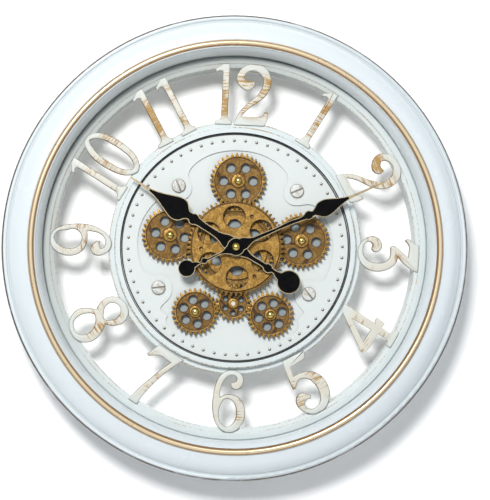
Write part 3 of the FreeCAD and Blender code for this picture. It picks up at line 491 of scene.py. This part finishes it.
def buildDialPaint(look):
    finish, tree, shader, place = newFinish("dialPaint", look["white"])
    where = useGroup(tree, dialPlace, Vector=place)
    radius, height = where["Radius"], where["Height"]
    grain = useGroup(tree, skinGrain, Vector=place, Grain=1500.0, Wave=50.0, Share=0.3)
    normal = normalAxes(tree)
    slope = without(tree, stepNode(tree, times(tree, normal[1], -1.0), 0.6, 0.97))
    # brown painted shade on the lower side of each dome and round its slopes
    lean = scaled(tree, normal[2], -0.8, times(tree, normal[0], 0.5))
    side = mathNode(tree, "MAXIMUM", stepNode(tree, lean, -0.35, 0.3), times(tree, slope, 0.5))
    domeShade = times(tree, bandNode(tree, radius, *look["domeRadius"]),
                  stepNode(tree, height, *look["domeHeight"]), side)
    # a dark line of painted shade round the opening, on its rounded rim
    rim = times(tree, slope, without(tree, stepNode(tree, radius, *look["openingRadius"])),
                stepNode(tree, height, *look["rimHeight"]))
    tone = layer(tree, look["white"], grain["Mottle"], 0.2, look["old"])
    tone = layer(tree, tone, domeShade, 0.95, look["dome"])
    tone = layer(tree, tone, rim, 0.95, look["rim"])
    tone = mixColors(tree, bandNode(tree, radius, *look["gapRadius"]), tone, look["gap"])
    closeFinish(tree, shader, look, tone, grain["Mottle"], grain["Height"])
    return finish


basePaint = {
    "white": (0.62, 0.66, 0.65),
    "old": (0.53, 0.57, 0.56),
    "film": (0.17, 0.21, 0.22),
    "wheels": ["gear_top", "gear_left", "gear_right", "gear_lower", "gear_bottom_left",
               "gear_bottom_right", "center_drive_gear"],
    "inset": 0.005,
    "fade": 0.003,
    "roughness": (0.36, 0.56),
    "bump": (0.12, 0.0005),
}


# the plate behind the wheels is white, with grey painted shade under each wheel
def buildBasePaint(look):
    finish, tree, shader, place = newFinish("basePaint", look["white"])
    grain = useGroup(tree, skinGrain, Vector=place, Grain=1500.0, Wave=50.0, Share=0.3)
    film = 0.0
    for node in look["wheels"]:
        low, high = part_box(node)
        away = addNode(tree, "ShaderNodeVectorMath", operation="MULTIPLY_ADD")
        arbor = (-(low.x + high.x) / 2.0, 0.0, -(low.z + high.z) / 2.0)
        for socket, value in zip(away.inputs, (place, (1.0, 0.0, 1.0), arbor)):
            feed(tree, socket, value)
        size = addNode(tree, "ShaderNodeVectorMath", operation="LENGTH")
        tree.links.new(away.outputs[0], size.inputs[0])
        reach = (high.x - low.x) / 2.0 - look["inset"]
        under = without(tree, stepNode(tree, size.outputs["Value"], reach - look["fade"], reach))
        film = mathNode(tree, "MAXIMUM", film, under)
    tone = layer(tree, look["white"], grain["Mottle"], 0.2, look["old"])
    tone = layer(tree, tone, film, scaled(tree, grain["Mottle"], 0.3, 0.6), look["film"])
    closeFinish(tree, shader, look, tone, grain["Mottle"], grain["Height"])
    return finish


gearFinish = {
    "gold": (0.32, 0.175, 0.03),
    "dark": (0.05, 0.022, 0.007),
    "bright": (0.5, 0.3, 0.075),
    "edge": (0.09, 0.04, 0.012),
    "arms": 3.0,
    "swirl": 4.5,
    "turn": 0.6,
    "seam": (0.86, 0.965),
    "seamReach": (0.2, 0.26, 0.76, 0.84),
    "roughness": (0.6, 0.42),
    "bump": (0.35, 0.0004),
}


# low and high are the heights of the sunk web and of the raised rim
def buildGearFinish(look, name, low, high):
    finish, tree, shader, place = newFinish(name, look["gold"], metallic=0.6)
    height = times(tree, axesOf(tree, place)[1], -1.0)
    facing = times(tree, normalAxes(tree)[1], -1.0)
    age = useGroup(tree, metalAge, Vector=place, Stain_Scale=190.0, Vein_Scale=240.0)
    sunk = without(tree, stepNode(tree, height, low, high))
    deep = without(tree, stepNode(tree, height, low - 0.003, low - 0.0002))
    tone = layer(tree, look["gold"], age["Stain"], 0.8, look["bright"])
    tone = layer(tree, tone, age["Vein"], 0.75, look["dark"])
    # painted shade together with a dark wash of the antique finish: the sunk web and what lies below it are
    # darker
    tone = layer(tree, tone, sunk, 0.5, look["dark"])
    tone = layer(tree, tone, deep, 0.5, look["dark"])
    # painted shade on faces that turn away from the front
    tone = layer(tree, tone, without(tree, stepNode(tree, facing, 0.3, 0.85)), 0.85, look["edge"])
    # dark seams of swirled arms, from hub to rim, on the sunk web
    own = axesOf(tree, addNode(tree, "ShaderNodeAttribute", attribute_name="wheelPlace").outputs["Vector"])
    reach = lengthOf(tree, own[0], own[2])
    turn = mathNode(tree, "ARCTAN2", own[2], own[0])
    bent = scaled(tree, reach, look["swirl"], look["turn"])
    wave = mathNode(tree, "COSINE", scaled(tree, turn, look["arms"], bent))
    seam = times(tree, stepNode(tree, wave, *look["seam"]), sunk, bandNode(tree, reach, *look["seamReach"]))
    tone = layer(tree, tone, seam, 0.92, look["dark"])
    closeFinish(tree, shader, look, tone, age["Stain"], age["Height"])
    return finish


screwWorn = {
    "white": (0.6, 0.62, 0.6),
    "worn": (0.42, 0.33, 0.24),
    "slot": (0.12, 0.1, 0.08),
    "headTop": -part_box("dial_screws")[0].y,
    "slotDepth": (0.0006, 0.0003),
    "roughness": (0.36, 0.55),
    "bump": (0.2, 0.0005),
}


# paint rubbed off the head, and painted shade in the slot and round the rim
def buildScrewPaint(look):
    finish, tree, shader, place = newFinish("screwPaint", look["white"])
    skin = useGroup(tree, skinGrain, Vector=place, Grain=1800.0, Wave=230.0, Share=0.3)
    facing = times(tree, normalAxes(tree)[1], -1.0)
    height = times(tree, axesOf(tree, place)[1], -1.0)
    low, high = (look["headTop"] - depth for depth in look["slotDepth"])
    sunk = without(tree, stepNode(tree, height, low, high))
    dark = mathNode(tree, "MAXIMUM", sunk, without(tree, stepNode(tree, facing, 0.5, 0.95)))
    tone = layer(tree, look["white"], stepNode(tree, skin["Mottle"], 0.48, 0.6), 0.7, look["worn"])
    tone = layer(tree, tone, dark, 0.68, look["slot"])
    closeFinish(tree, shader, look, tone, skin["Mottle"], skin["Height"])
    return finish


beadGilt = {
    "crest": (0.86, 0.73, 0.5),
    "warm": (0.7, 0.5, 0.27),
    "flank": (0.36, 0.2, 0.08),
    "circle": 0.23125,
    "flankWidth": (0.0006, 0.0026),
    "roughness": (0.22, 0.36),
    "bump": (0.04, 0.0005),
}


# a painted highlight makes the bead pale along its crest, and painted shade makes it browner where it meets
# the frame
def buildBeadGold(look):
    finish, tree, shader, place = newFinish("beadGold", look["crest"], metallic=0.45, coat=0.3,
                                            coatRoughness=0.1)
    radius = useGroup(tree, dialPlace, Vector=place)["Radius"]
    skin = useGroup(tree, skinGrain, Vector=place, Grain=900.0, Wave=36.0, Share=0.2)
    off = mathNode(tree, "ABSOLUTE", mathNode(tree, "SUBTRACT", radius, look["circle"]))
    tone = layer(tree, look["crest"], skin["Mottle"], 0.35, look["warm"])
    tone = mixColors(tree, stepNode(tree, off, *look["flankWidth"]), tone, look["flank"])
    closeFinish(tree, shader, look, tone, skin["Mottle"], skin["Height"])
    return finish


# two tones of one skin, for what each finish below doesn't say itself
plainLook = {"metallic": 0.0, "coat": 0.0, "specular": 0.5, "grain": 1500.0, "wave": 80.0, "share": 0.4}
plainFinishes = {
    "gearGrime": {"tones": ((0.04, 0.018, 0.006), (0.09, 0.045, 0.014)), "roughness": (0.5, 0.7),
                  "metallic": 0.3, "grain": 2400.0, "wave": 260.0, "bump": (0.3, 0.0005)},
    "capBrass": {"tones": ((0.62, 0.47, 0.14), (0.7, 0.56, 0.22)), "roughness": (0.2, 0.34),
                 "metallic": 1.0, "grain": 2000.0, "wave": 120.0, "bump": (0.06, 0.0005)},
    "handGold": {"tones": ((0.34, 0.27, 0.15), (0.46, 0.38, 0.24)), "roughness": (0.3, 0.42),
                 "metallic": 0.55, "grain": 2500.0, "wave": 150.0, "bump": (0.06, 0.0005)},
    "handBlack": {"tones": ((0.003, 0.003, 0.004), (0.006, 0.006, 0.006)), "roughness": (0.42, 0.55),
                  "specular": 0.02, "grain": 2500.0, "wave": 90.0, "bump": (0.06, 0.0005)},
    "rearPlastic": {"tones": ((0.7, 0.71, 0.7), (0.67, 0.68, 0.67)), "roughness": (0.5, 0.62),
                    "grain": 2200.0, "wave": 40.0, "share": 0.8, "bump": (0.3, 0.0005)},
    "zincSteel": {"tones": ((0.58, 0.59, 0.6), (0.46, 0.47, 0.48)), "roughness": (0.28, 0.45),
                  "metallic": 1.0, "wave": 220.0, "bump": (0.12, 0.0005)},
    "arborSteel": {"tones": ((0.62, 0.61, 0.58), (0.5, 0.49, 0.46)), "roughness": (0.25, 0.4),
                   "metallic": 1.0, "grain": 2200.0, "wave": 90.0, "bump": (0.08, 0.0005)},
    "movementBlack": {"tones": ((0.02, 0.02, 0.021), (0.035, 0.035, 0.036)), "roughness": (0.45, 0.6),
                      "grain": 2600.0, "wave": 60.0, "share": 0.9, "bump": (0.35, 0.0005)},
    "worksNylon": {"tones": ((0.68, 0.66, 0.6), (0.6, 0.58, 0.52)), "roughness": (0.4, 0.55),
                   "grain": 2000.0, "bump": (0.1, 0.0005)},
    "circuitGreen": {"tones": ((0.02, 0.13, 0.05), (0.03, 0.18, 0.07)), "roughness": (0.3, 0.42),
                     "coat": 0.3, "grain": 900.0, "wave": 300.0, "bump": (0.2, 0.0005)},
    "cellJacket": {"tones": ((0.12, 0.16, 0.22), (0.16, 0.2, 0.27)), "roughness": (0.25, 0.38),
                   "metallic": 0.3, "coat": 0.3, "wave": 40.0, "bump": (0.05, 0.0005)},
    "contactSteel": {"tones": ((0.64, 0.64, 0.62), (0.52, 0.51, 0.48)), "roughness": (0.25, 0.4),
                     "metallic": 1.0, "wave": 200.0, "bump": (0.1, 0.0005)},
    "driveBlack": {"tones": ((0.025, 0.025, 0.027), (0.04, 0.04, 0.042)), "roughness": (0.42, 0.58),
                   "grain": 2400.0, "wave": 50.0, "share": 0.9, "bump": (0.35, 0.0005)},
    "sliderRed": {"tones": ((0.5, 0.03, 0.025), (0.58, 0.06, 0.04)), "roughness": (0.35, 0.5),
                  "coat": 0.1, "grain": 2000.0, "wave": 120.0, "bump": (0.15, 0.0005)},
}


def buildPlainFinish(name, look):
    finish, tree, shader, place = newFinish(name, look["tones"][0], metallic=look["metallic"],
                                            coat=look["coat"], coatRoughness=0.15, specular=look["specular"])
    skin = useGroup(tree, skinGrain, Vector=place, Grain=look["grain"], Wave=look["wave"], Share=look["share"])
    tone = mixColors(tree, stepNode(tree, skin["Mottle"], 0.3, 0.7), *look["tones"])
    closeFinish(tree, shader, look, tone, skin["Mottle"], skin["Height"])
    return finish


finishes = {name: buildPlainFinish(name, {**plainLook, **look}) for name, look in plainFinishes.items()}
finishes["frameLacquer"] = buildFrameLacquer(frameLacquer)
finishes["ringPaint"] = buildRingPaint(ringPaint)
finishes["numeralPaint"] = buildNumeralPaint(numeralPaint)
finishes["dialPaint"] = buildDialPaint(dialPaint)
finishes["basePaint"] = buildBasePaint(basePaint)
finishes["agedGold"] = buildGearFinish(gearFinish, "agedGold", 0.0439, 0.0449)
finishes["crownGold"] = buildGearFinish(gearFinish, "crownGold", 0.0489, 0.0499)
finishes["beadGold"] = buildBeadGold(beadGilt)
finishes["screwPaint"] = buildScrewPaint(screwWorn)
print("finishes made")

slotFinish = {
    "case_white": "frameLacquer", "numeral_white": "numeralPaint", "trim_gold": "beadGold",
    "case_rear": "rearPlastic", "zinc_steel": "zincSteel", "screw_white": "screwPaint",
    "antique_gold": "agedGold", "brass": "capBrass", "arbor_steel": "arborSteel",
    "movement_black": "movementBlack", "works_nylon": "worksNylon", "circuit_green": "circuitGreen",
    "cell_jacket": "cellJacket", "contact_steel": "contactSteel", "drive_black": "driveBlack",
    "slider_red": "sliderRed", "hand_black": "handBlack",
}
nodeFinish = {
    "chapter_band": "ringPaint", "hub_ring": "ringPaint", "dial_plate": "dialPaint",
    "base_plate": "basePaint", "center_front_gear": "crownGold",
}
for name, piece in nodes.items():
    piece.data.materials.clear()
    piece.data.materials.append(finishes[nodeFinish.get(name, slotFinish[slotOf[name]])])
    piece.data.polygons.foreach_set("material_index", [0] * len(piece.data.polygons))


solidCopy = {
    "mergeGap": 0.000004,
    "flatAngle": 0.4,
    "bevelAngle": 30.0,
    "softShade": 38.0,
    "rimShade": 36.0,
}


def copySolid(node):
    pick(nodes[node])
    bpy.ops.object.duplicate()
    copy = bpy.context.object
    copy.parent = None
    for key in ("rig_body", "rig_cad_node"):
        if key in copy:
            del copy[key]
    if copy.data.has_custom_normals:
        bpy.ops.mesh.customdata_custom_splitnormals_clear()
    bpy.ops.object.mode_set(mode="EDIT")
    bpy.ops.mesh.select_all(action="SELECT")
    bpy.ops.mesh.remove_doubles(threshold=solidCopy["mergeGap"])
    bpy.ops.mesh.select_all(action="DESELECT")
    bpy.ops.object.mode_set(mode="OBJECT")
    pick(copy)
    return copy


# leaves the piece in edit mode, with the triangles of each flat face joined up
def joinFlats(piece, **limits):
    pick(piece)
    bpy.ops.object.mode_set(mode="EDIT")
    bpy.ops.mesh.select_all(action="SELECT")
    bpy.ops.mesh.dissolve_limited(angle_limit=math.radians(solidCopy["flatAngle"]), **limits)


def handOver(piece, pieceName, node):
    piece.name = pieceName
    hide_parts(node)
    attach(piece, bodyOf[node])


def wordsTurned(node, ending):
    words = node.split("_")
    return words[-1] + "".join(word.capitalize() for word in words[:-1]) + ending


# a fine bevel along all edges of the piece
def soften(piece, width):
    joinFlats(piece, delimit={"MATERIAL"})
    bpy.ops.object.mode_set(mode="OBJECT")
    bevel = piece.modifiers.new("softEdges", "BEVEL")
    bevel.width = width
    bevel.segments = 2
    bevel.limit_method = "ANGLE"
    bevel.angle_limit = math.radians(solidCopy["bevelAngle"])
    bevel.use_clamp_overlap = False
    bpy.ops.object.modifier_apply(modifier="softEdges")
    bpy.ops.object.shade_smooth_by_angle(angle=math.radians(solidCopy["softShade"]))


# rounds those sharp edges for which test is true, and leaves the rest as cast
def roundRim(node, width, look, test):
    piece = copySolid(node)
    joinFlats(piece)
    selectOnly(piece, "edges", lambda edge: all(test(vert.co) for vert in edge.verts)
               and len(edge.link_faces) == 2 and edge.calc_face_angle() > math.radians(look["sharp"]))
    bpy.ops.mesh.bevel(offset=width, segments=look["steps"], profile=0.5, affect="EDGES",
                       clamp_overlap=False, loop_slide=False)
    bpy.ops.object.mode_set(mode="OBJECT")
    bpy.ops.object.shade_smooth_by_angle(angle=math.radians(solidCopy["rimShade"]))
    return piece


# the numerals in fine have narrow places, so their rim is rounded less
numeralCast = {
    "round": 0.0017,
    "fine": {"numeral_02": 0.0012, "numeral_12": 0.0012, "numeral_04": 0.0006},
    "steps": 4,
    "sharp": 40.0,
}
for hour in range(1, 13):
    node = "numeral_%02d" % hour
    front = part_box(node)[0].y
    width = numeralCast["fine"].get(node, numeralCast["round"])
    piece = roundRim(node, width, numeralCast, lambda spot: abs(spot.y - front) < 0.00002)
    handOver(piece, "numeralCast%02d" % hour, node)
print("numerals rounded")


softEdges = {
    "chapter_band": 0.0003,
    "dial_screws": 0.00035,
    "post_caps": 0.0002,
}
for node, width in softEdges.items():
    piece = copySolid(node)
    soften(piece, width)
    handOver(piece, wordsTurned(node, "Soft"), node)
print("edges of band, screws and caps softened")


wheelGrimeShade = {
    "webs": {"gear_top": 0.044, "gear_left": 0.044, "gear_right": 0.044, "gear_lower": 0.044,
             "gear_bottom_left": 0.044, "gear_bottom_right": 0.044, "center_drive_gear": 0.045,
             "center_front_gear": 0.05},
    "line": 0.001,
    "fineLine": {"center_drive_gear": 0.0005, "center_front_gear": 0.0007},
    "soft": 0.00028,
}


# a dark line where the sunk web of a wheel meets its rim, hub and holes: grime and painted shade in the corner
def grimeShadeWheel(node, web, look):
    piece = copySolid(node)
    low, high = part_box(node)
    axis = Vector(((low.x + high.x) / 2.0, 0.0, (low.z + high.z) / 2.0))
    size = (high.x - low.x) / 2.0
    place = piece.data.attributes.new("wheelPlace", "FLOAT_VECTOR", "POINT")
    spots = [value for vert in piece.data.vertices for value in (vert.co - axis) / size]
    place.data.foreach_set("vector", spots)
    piece.data.materials.append(finishes["gearGrime"])
    joinFlats(piece)
    selectOnly(piece, "faces", lambda face: face.normal.y < -0.99
               and abs(face.calc_center_median().y + web) < 0.00005)
    piece.active_material_index = 1
    bpy.ops.object.material_slot_assign()
    bpy.ops.mesh.inset(thickness=look["fineLine"].get(node, look["line"]), depth=0.0, use_even_offset=False,
                       use_boundary=True)
    piece.active_material_index = 0
    bpy.ops.object.material_slot_assign()
    soften(piece, look["soft"])
    return piece


for node, web in wheelGrimeShade["webs"].items():
    handOver(grimeShadeWheel(node, web, wheelGrimeShade), wordsTurned(node, "Aged"), node)
print("wheels aged")


# the front rim of the dial plate's lobed opening
dialRim = {
    "outer": 0.1188,
    "round": 0.0011,
    "steps": 3,
    "sharp": 60.0,
}
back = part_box("base_plate")[0].y
piece = roundRim("dial_plate", dialRim["round"], dialRim,
                 lambda spot: spot.y < back - 0.001 and math.hypot(spot.x, spot.z) < dialRim["outer"])
handOver(piece, "dialPlateRounded", "dial_plate")
print("dial opening rounded")


handShapes = {
    "hour_hand": {"name": "hourHandRimmed", "angle": 301.1, "leafEnd": 0.118, "rim": 0.001, "sink": 0.0003},
    "minute_hand": {"name": "minuteHandRimmed", "angle": 64.0, "leafEnd": 0.1405, "rim": 0.0008,
                    "sink": 0.0003},
}


# a black leaf sunk into a thin gold rim, and a gold needle beyond the leaf's end
def rimHand(node, look):
    piece = copySolid(node)
    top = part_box(node)[0].y
    turn = math.radians(look["angle"])
    along = Vector((math.sin(turn), 0.0, math.cos(turn)))
    piece.data.materials.clear()
    piece.data.materials.append(finishes["handGold"])
    piece.data.materials.append(finishes["handBlack"])
    bpy.ops.object.mode_set(mode="EDIT")
    bpy.ops.mesh.select_all(action="SELECT")
    bpy.ops.mesh.bisect(plane_co=along * look["leafEnd"], plane_no=along)
    selectOnly(piece, "faces", lambda face: face.normal.y < -0.99
               and face.calc_center_median().y < top + 0.0001
               and face.calc_center_median().dot(along) < look["leafEnd"])
    bpy.ops.mesh.inset(thickness=look["rim"], depth=0.0, use_even_offset=False, use_boundary=True)
    piece.active_material_index = 1
    bpy.ops.object.material_slot_assign()
    bpy.ops.mesh.inset(thickness=0.00015, depth=-look["sink"], use_even_offset=False, use_boundary=True)
    # points that a sliver face pushed out of the front are brought back to the sunk face
    selectOnly(piece, "verts", lambda vert: vert.co.y < top - 0.00005)
    bpy.ops.transform.translate(value=(0, 2.0 * look["sink"], 0))
    bpy.ops.object.mode_set(mode="OBJECT")
    bpy.ops.object.shade_smooth_by_angle(angle=math.radians(35.0))
    handOver(piece, look["name"], node)


for node, look in handShapes.items():
    rimHand(node, look)
print("hands rimmed")


room = {
    "white": (0.94, 0.94, 0.94),
    "tones": ((0.94, 0.94, 0.945), (0.96, 0.96, 0.955)),
    "wallGap": 0.0008,
    "wallWidth": 8.0,
    "wallHeight": 4.0,
    "floorDrop": 2.2,
    "floorDepth": 4.0,
    "coveRadius": 0.4,
}


# seen from behind, the wall is clear, so that the back of the clock shows
def buildRoomPaint(look):
    finish, tree, shader, place = newFinish("wallPaint", look["white"], 0.9)
    grain = useGroup(tree, skinGrain, Vector=place, Grain=300.0, Wave=3.0, Share=0.3)
    tree.links.new(mixColors(tree, grain["Mottle"], *look["tones"]), shader.inputs["Base Color"])
    bumpTo(tree, shader, grain["Height"], 0.03, 0.001)
    mix = tree.nodes.new("ShaderNodeMixShader")
    facing = tree.nodes.new("ShaderNodeNewGeometry").outputs["Backfacing"]
    clear = tree.nodes.new("ShaderNodeBsdfTransparent").outputs[0]
    for socket, value in zip(mix.inputs, (facing, shader.outputs[0], clear)):
        tree.links.new(value, socket)
    tree.links.new(mix.outputs[0], tree.nodes["Material Output"].inputs["Surface"])
    return finish


# a wall close behind the clock that sweeps down into the floor
def buildSweep(setup):
    floor = -setup["floorDrop"]
    clearSelection()
    bpy.ops.mesh.primitive_plane_add(size=1.0, location=(0, 0, 0))
    sweep = bpy.context.object
    sweep.name = "wallSweep"
    bpy.ops.object.mode_set(mode="EDIT")
    bpy.ops.mesh.select_all(action="SELECT")
    bpy.ops.transform.rotate(value=math.radians(90.0), orient_axis="X", center_override=(0, 0, 0))
    bpy.ops.transform.resize(value=(setup["wallWidth"], 1.0, setup["wallHeight"]), center_override=(0, 0, 0))
    bpy.ops.transform.translate(value=(0, setup["wallGap"], setup["wallHeight"] / 2.0 + floor))
    selectOnly(sweep, "edges", lambda edge: all(v.co.z < floor + 0.01 for v in edge.verts))
    bpy.ops.mesh.extrude_region_move(TRANSFORM_OT_translate={"value": (0, -setup["floorDepth"], 0)})
    selectOnly(sweep, "edges", lambda edge: all(abs(v.co.z - floor) < 0.01 and v.co.y > 0 for v in edge.verts))
    bpy.ops.mesh.bevel(offset=setup["coveRadius"], segments=12, affect="EDGES")
    bpy.ops.object.mode_set(mode="OBJECT")
    bpy.ops.object.shade_smooth_by_angle(angle=math.radians(30.0))
    mean = sum((face.normal for face in sweep.data.polygons), Vector())
    if mean.y > 0:
        sweep.data.flip_normals()
    sweep.data.materials.append(buildRoomPaint(setup))
    sweep.visible_shadow = False


lamps = {
    "keyWindow": {"size": (0.9, 0.8), "place": (-0.72, -2.7, 1.3), "power": 94.0, "color": (1.0, 1.0, 0.99)},
    "fillPanel": {"size": (2.4, 2.0), "place": (2.2, -2.2, 0.4), "power": 8.0, "color": (0.94, 0.97, 1.0)},
    "rearPanel": {"size": (2.0, 2.0), "place": (0.9, 2.7, 1.1), "power": 45.0, "color": (1.0, 0.99, 0.97)},
}


def addLamp(name, look):
    clearSelection()
    bpy.ops.object.light_add(type="AREA", location=look["place"])
    lamp = bpy.context.object
    lamp.name = name
    lamp.data.shape = "RECTANGLE"
    lamp.data.size, lamp.data.size_y = look["size"]
    lamp.data.energy = look["power"]
    lamp.data.color = look["color"]
    lamp.rotation_euler = (-Vector(look["place"])).to_track_quat("-Z", "Y").to_euler()


# the air is darker below the clock than above it
studioAir = {
    "below": (0.09, 0.095, 0.105),
    "above": (0.33, 0.345, 0.36),
    "change": (-0.7, 0.5),
}


def buildAir(look):
    world = bpy.data.worlds.new("studioAir")
    bpy.context.scene.world = world
    world.use_nodes = True
    tree = world.node_tree
    up = axesOf(tree, tree.nodes.new("ShaderNodeTexCoord").outputs["Generated"])[2]
    glow = mixColors(tree, stepNode(tree, up, *look["change"]), look["below"], look["above"])
    tree.links.new(glow, tree.nodes["Background"].inputs["Color"])


buildSweep(room)
for name, look in lamps.items():
    addLamp(name, look)
buildAir(studioAir)
bpy.context.scene.view_settings.view_transform = "Standard"
print("room and light ready")
